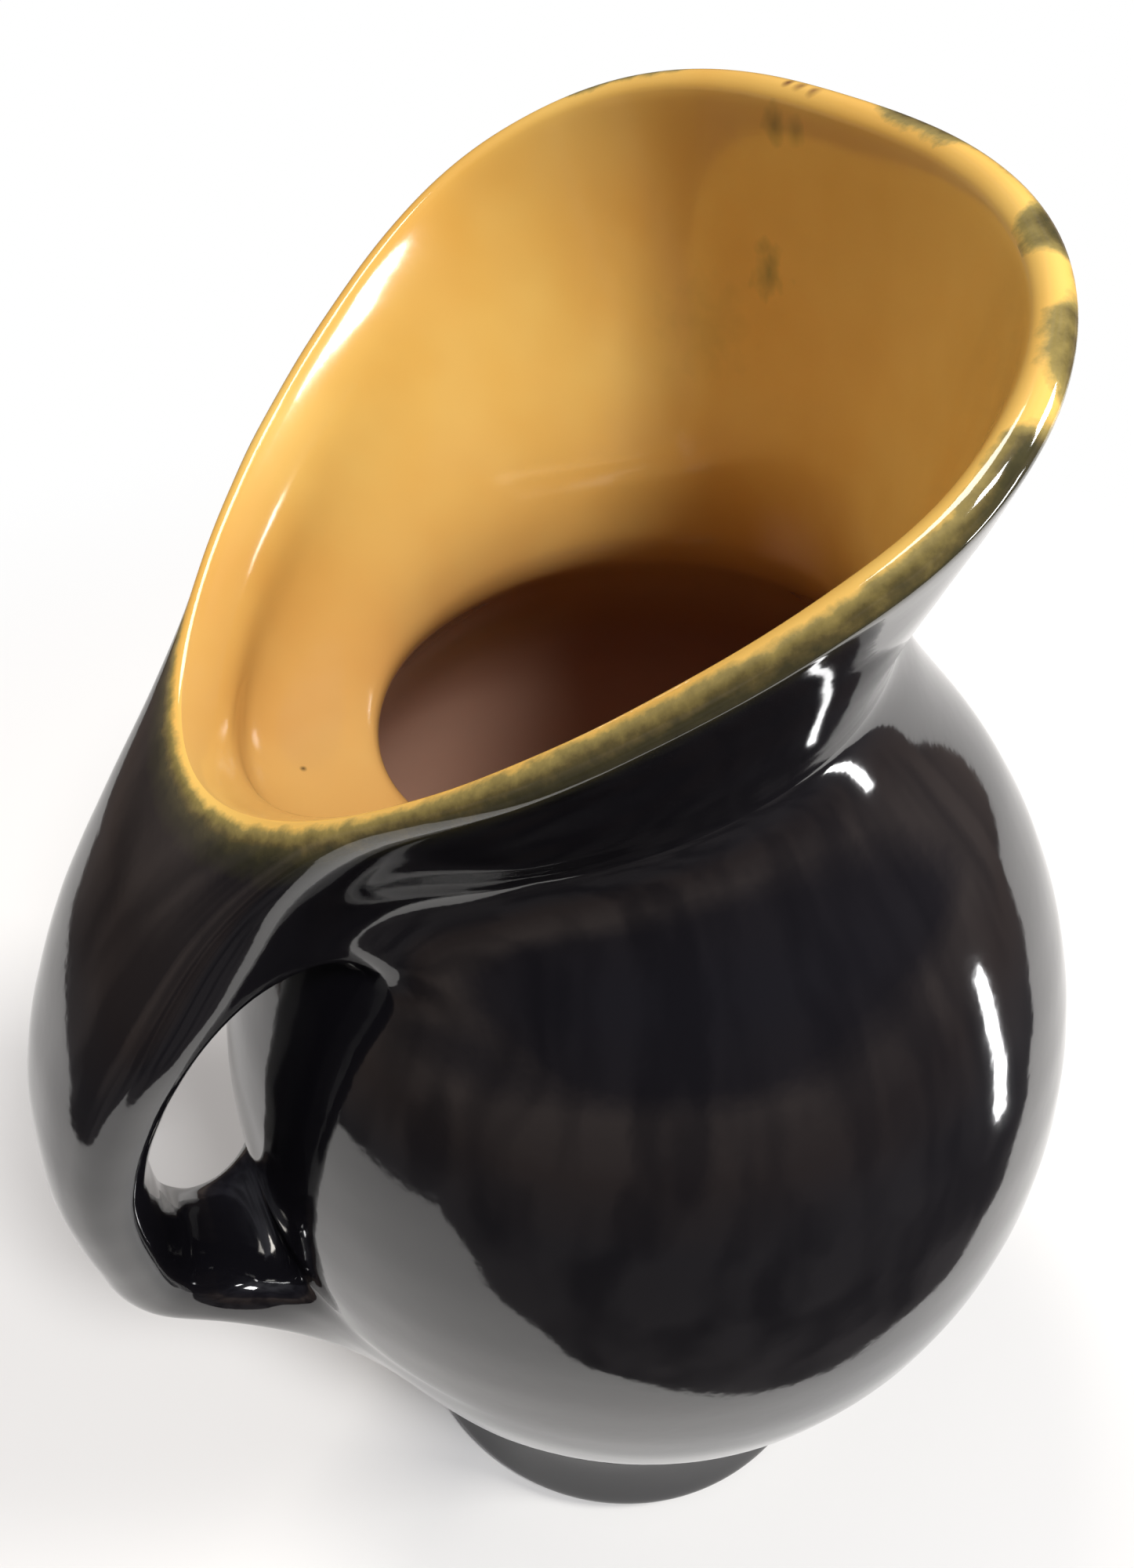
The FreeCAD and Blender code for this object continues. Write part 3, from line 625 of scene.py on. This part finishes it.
shift = linked(tree, "ShaderNodeVectorMath", [
    (0, linked(tree, "GeometryNodeInputNormal").outputs[0]),
    ("Scale", math(tree, "MULTIPLY", wave, given["Finger Depth"]))], operation="SCALE")
moved = linked(tree, "GeometryNodeSetPosition", [
    ("Geometry", finer.outputs[0]), ("Offset", shift.outputs[0])])
real = linked(tree, "GeometryNodeRealizeInstances", [("Geometry", moved.outputs[0])])
piece = linked(tree, "GeometryNodeInputNamedAttribute", [("Name", "piece")], data_type="INT")
lined = linked(tree, "FunctionNodeCompare", [
    (2, piece.outputs["Attribute"]), (3, PIECES.index("lining"))],
    data_type="INT", operation="EQUAL")
dark = linked(tree, "GeometryNodeSetMaterial", [("Geometry", real.outputs[0]), ("Material", black)])
both = linked(tree, "GeometryNodeSetMaterial", [
    ("Geometry", dark.outputs[0]), ("Selection", lined.outputs[0]), ("Material", yellow)])
linked(tree, "NodeGroupOutput", [("Geometry", both.outputs[0])])
modifier = skin_object.modifiers.new("Thrown skin", "NODES")
modifier.node_group = tree
FINGERS = {"Finger Pitch": 0.010, "Finger Depth": 0.00002}
for socket in tree.interface.items_tree:
    if socket.in_out == "INPUT" and socket.name in FINGERS:
        modifier[socket.identifier] = FINGERS[socket.name]
bpy.context.view_layer.update()
seen = skin_object.evaluated_get(bpy.context.evaluated_depsgraph_get())
finished = bpy.data.meshes.new_from_object(seen)
skin_object.modifiers.clear()
bpy.data.objects.remove(skin_object)


def read(items, field, kind, width=1):
    """One field of all the items, in rows of the given width."""
    values = np.empty(len(items) * width, kind)
    items.foreach_get(field, values)
    return values.reshape(-1, width) if width > 1 else values


spot = read(finished.vertices, "co", np.float32, 3).astype(float) * 1000
facing = read(finished.vertex_normals, "vector", np.float32, 3).astype(float)
quads = read(finished.loops, "vertex_index", np.int32).reshape(-1, 4)
belongs = read(finished.attributes["piece"].data, "value", np.int32)


# Coat: how thick the black glaze lies, 0 where the yellow ends and 1 where the black is whole,
# from how far it has run out and down from the crest of the lip.

# column of the lip, where the yellow ends, and where the black is whole, in millimetres
COAT = np.array([
    (0, 1.6, 6.0), (4, 1.8, 6.0), (8, 1.8, 6.0), (10, 0.0, 6.0), (15, -0.4, 5.0), (17, 1.2, 4.5),
    (22, 1.2, 4.2), (26, 0.5, 3.4), (34, 0.5, 3.2), (40, 0.3, 4.0), (43, -0.4, 5.0), (46, -1.1, 5.5),
    (49, -1.1, 6.0), (52, -0.7, 6.0), (55, -0.8, 6.0), (58, -1.1, 6.0), (62, -1.3, 6.0),
    (66, -0.7, 6.0), (69, 0.0, 6.0), (72, 0.3, 6.0), (74.5, -0.4, 5.0), (75.6, -0.6, 5.0),
    (76.2, 1.9, 9.0), (77.2, 1.9, 9.0), (77.8, -0.6, 9.0), (80.0, -0.6, 9.0), (80.6, 1.9, 9.0),
    (82.2, 1.9, 9.0), (82.7, -1.8, 8.0), (84.3, -1.6, 8.0), (84.9, 1.6, 7.0), (89, 1.4, 7.0),
    (90, -0.6, 7.0), (93, -0.6, 6.0), (94.5, 1.4, 6.0)])

c, s = np.cos(np.radians(MOUTH_TILT)), np.sin(np.radians(MOUTH_TILT))
from_middle = spot - [NECK_X, 0, MOUTH_Z]
along = from_middle[:, 0] * c + from_middle[:, 2] * s
rise = -from_middle[:, 0] * s + from_middle[:, 2] * c - bow(np.clip(along, -MOUTH[1], MOUTH[0]))
flat = np.stack([along, from_middle[:, 1]], 1)
near, away = np.zeros(len(flat), int), np.full(len(flat), np.inf)
for j in range(AROUND):
    gap = np.linalg.norm(flat - path[j], axis=1)
    closer = gap < away
    near[closer], away[closer] = j, gap[closer]
offset = flat - path[near]
out = (offset * path_out[near]).sum(1)
beyond = (offset * path_step[near]).sum(1) / (path_step[near] ** 2).sum(1)
column = near + np.clip(beyond, -0.5, 0.5)
run = np.maximum(out, -3.0) + 1.5 * np.maximum(-rise, 0)
ends, whole = (np.interp(column, COAT[:, 0], COAT[:, k], period=AROUND) for k in (1, 2))
coat_value = (run - ends) / (whole - ends)


# The five pieces: each is its own part of the skin, closed by a back face at the given depth
# under it and by the strips between, so that the pieces meet without a seam in the shine.

BACKS = {"foot_ring": 2.0, "belly": 3.9, "neck_and_mouth": 2.0, "lining": -0.45, "handle": 0.8}
for number, name in enumerate(PIECES):
    own = quads[belongs == number]
    used, front = np.unique(own, return_inverse=True)
    front = front.reshape(own.shape)
    count = len(used)
    edges = {(a, b) for face in front.tolist() for a, b in zip(face, face[1:] + face[:1])}
    strips = [(b, a, a + count, b + count) for a, b in edges if (b, a) not in edges]
    back = spot[used] - facing[used] * abs(BACKS[name])
    mesh = bpy.data.meshes.new(name)
    mesh.from_pydata((np.concatenate([spot[used], back]) * 0.001).tolist(), [],
                     front.tolist() + (front[:, ::-1] + count).tolist() + strips)
    mesh.shade_smooth()
    coats = np.tile(coat_value[used], 2).astype(np.float32)
    mesh.attributes.new("coat", "FLOAT", "POINT").data.foreach_set("value", coats)
    normals = np.concatenate([facing[used], -facing[used]])
    mesh.normals_split_custom_set_from_vertices(normals.tolist())
    mesh.materials.append(yellow if name == "lining" else black)
    piece = bpy.data.objects.new(name.capitalize(), mesh)
    bpy.context.scene.collection.objects.link(piece)
    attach(piece, "root")
    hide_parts(name)


# Table: a plain pale top under the jug, matt.  Beyond the jug's shadow it fades to plain white
# for the camera alone; its near edge bounds the dark that the belly mirrors.

table_mesh = bpy.data.meshes.new("table")
table_mesh.from_pydata([(-0.33, -0.118, 0), (1.1, -0.118, 0), (1.1, 0.75, 0), (-0.33, 0.75, 0)],
                       [], [(0, 1, 2, 3)])
table = bpy.data.objects.new("Table", table_mesh)
bpy.context.scene.collection.objects.link(table)
top, tree = new_material("Pale table")
surface = linked(tree, "ShaderNodeBsdfPrincipled", [
    ("Base Color", paint("EBEAE9")), ("Roughness", 0.8)])
place = linked(tree, "ShaderNodeTexCoord").outputs["Object"]
away = linked(tree, "ShaderNodeVectorMath", [(0, place)], operation="LENGTH").outputs["Value"]
fade = mapped(tree, away, 0.18, 0.50, kind="SMOOTHSTEP")
share = math(tree, "MULTIPLY", fade, linked(tree, "ShaderNodeLightPath").outputs["Is Camera Ray"])
white = linked(tree, "ShaderNodeEmission", [("Color", (1, 1, 1, 1)), ("Strength", 1.0)])
joined = linked(tree, "ShaderNodeMixShader", [
    (0, share), (1, surface.outputs["BSDF"]), (2, white.outputs[0])])
linked(tree, "ShaderNodeOutputMaterial", [("Surface", joined.outputs[0])])
table_mesh.materials.append(top)


# Lamps: soft windows to the right, over the near edge, low beside the table and behind above.

def lamp(name, place, size, power, colour):
    """Rectangle of light that faces the middle of the jug."""
    light = bpy.data.lights.new(name, "AREA")
    light.shape = "RECTANGLE"
    light.size, light.size_y = size
    light.energy = power
    light.color = paint(colour)[:3]
    item = bpy.data.objects.new(name, light)
    item.location = place
    item.rotation_mode = "QUATERNION"
    item.rotation_quaternion = (Vector((0, 0, 0.1)) - Vector(place)).to_track_quat("-Z", "Y")
    bpy.context.scene.collection.objects.link(item)


lamp("Window right", (1.45, -0.95, 1.13), (0.5, 0.6), 27, "FFFDF8")
lamp("Window near", (0.15, -1.35, 1.9), (0.45, 0.45), 39, "FFFFFF")
lamp("Window low", (1.22, -0.72, -0.28), (0.10, 0.62), 5.0, "FFFFFF")
lamp("Window above", (-0.5, 0.6, 2.1), (0.7, 0.7), 17, "FFF9F0")


# Room: dim and a little brown at the horizon, uneven like furniture, which the black glaze
# mirrors; the camera itself sees plain white behind the jug.

world = bpy.data.worlds.new("Room")
bpy.context.scene.world = world
world.use_nodes = True
tree = world.node_tree
tree.nodes.clear()
view = linked(tree, "ShaderNodeTexCoord").outputs["Generated"]
up = linked(tree, "ShaderNodeSeparateXYZ", [("Vector", view)]).outputs["Z"]
sky = ramp(tree, mapped(tree, up, -1.0, 1.0), [
    (0.30, paint("595555")), (0.42, paint("6E6058")), (0.52, paint("8C7E76")),
    (0.58, paint("4E484A")), (0.75, paint("46464F")), (1.0, paint("95959C"))])
room = linked(tree, "ShaderNodeMapping", [("Vector", view), ("Scale", (2.6, 2.6, 0.9))]).outputs[0]
light_dark = mapped(tree, noise(tree, room, 1.6, 2.0), 0.40, 0.60, 0.55, 1.35)
varied = linked(tree, "ShaderNodeVectorMath", [(0, sky), ("Scale", light_dark)], operation="SCALE")
dim = linked(tree, "ShaderNodeBackground", [("Color", varied.outputs[0]), ("Strength", 1.0)])
bright = linked(tree, "ShaderNodeBackground", [("Color", (1, 1, 1, 1)), ("Strength", 1.0)])
seen_by = linked(tree, "ShaderNodeLightPath").outputs["Is Camera Ray"]
both = linked(tree, "ShaderNodeMixShader", [
    (0, seen_by), (1, dim.outputs[0]), (2, bright.outputs[0])])
linked(tree, "ShaderNodeOutputWorld", [("Surface", both.outputs[0])])


# Camera: above and to the left of the jug, turned a little, close as in the hand.

camera_data = bpy.data.cameras.new("Camera")
camera_data.lens = 28.8
camera_data.sensor_width = 36.0
camera_data.clip_start = 0.01
camera_data.clip_end = 20.0
camera = bpy.data.objects.new("Camera", camera_data)
bpy.context.scene.collection.objects.link(camera)
right, up = (0.88512, -0.46532, 0.00678), (0.29063, 0.56407, 0.77289)
back = (-0.36346, -0.68213, 0.63451)
from_here = (-0.08042, -0.12384, 0.27140)
camera.matrix_world = Matrix((*zip(right, up, back, from_here), (0, 0, 0, 1)))
bpy.context.scene.camera = camera
bpy.context.scene.view_settings.view_transform = "Standard"
